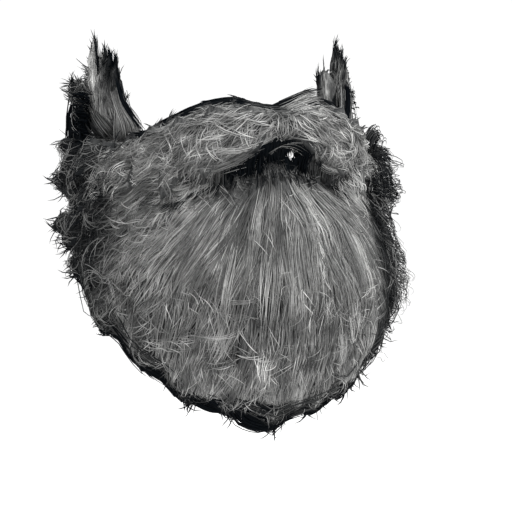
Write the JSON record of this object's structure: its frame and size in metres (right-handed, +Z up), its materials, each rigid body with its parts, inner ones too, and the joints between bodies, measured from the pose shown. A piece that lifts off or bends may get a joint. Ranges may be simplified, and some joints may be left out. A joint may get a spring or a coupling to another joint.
{
  "type": "fake beard",
  "caption": "Full grey false beard with moustache and sideburns on a cloth backing, worn on the face, with an open slot at the mouth.",
  "frame": {"origin": "the chin seat: where the front of the wearer's chin touches the inside of the backing", "axes": "+Z up, -Y the way the wearer looks, +X the wearer's left"},
  "size_m": [0.1954, 0.1314, 0.2169],
  "materials": {
    "backing_cloth": "matt woven cloth",
    "grey_hair": "mid grey hair, matt",
    "moustache_hair": "grey hair with pale strands, satin",
    "pale_hair": "pale grey hair, satin",
    "dark_hair": "dark hair with pale streaks, matt"
  },
  "bodies": {
    "root": {"backing": "backing_cloth", "beard": "grey_hair", "moustache": "moustache_hair", "chin_fall": "pale_hair", "sideburn_right": "dark_hair", "sideburn_left": "dark_hair"}
  },
  "joints": []
}
